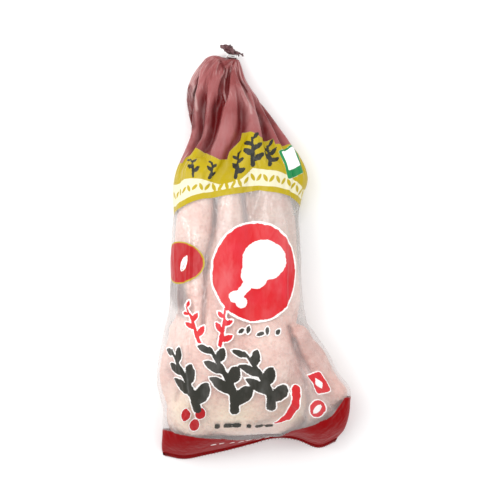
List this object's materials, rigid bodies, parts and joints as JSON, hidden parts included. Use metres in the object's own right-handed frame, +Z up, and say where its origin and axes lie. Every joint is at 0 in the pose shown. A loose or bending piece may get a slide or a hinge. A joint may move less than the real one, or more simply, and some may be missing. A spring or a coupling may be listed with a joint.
{
  "type": "raw whole chicken in a sealed bag",
  "caption": "Raw whole chicken lying breast up in a printed film bag, sealed flat at one end and gathered and clipped at the other.",
  "frame": {"origin": "on the floor, under the middle of the bag's bounding box", "axes": "+X to the right of the printed side, +Y from the flat seal to the gathered tail, +Z up through the printed side"},
  "size_m": [0.2096, 0.4602, 0.0956],
  "materials": {
    "film": "thin clear bag film, part printed in wine red and mustard, gloss",
    "chicken_skin": "moist raw skin, pale pink and cream",
    "clip": "plain crimped wire, dull bright"
  },
  "bodies": {
    "root": {"filled_bag": "film", "neck_clip": "clip"}
  },
  "joints": []
}
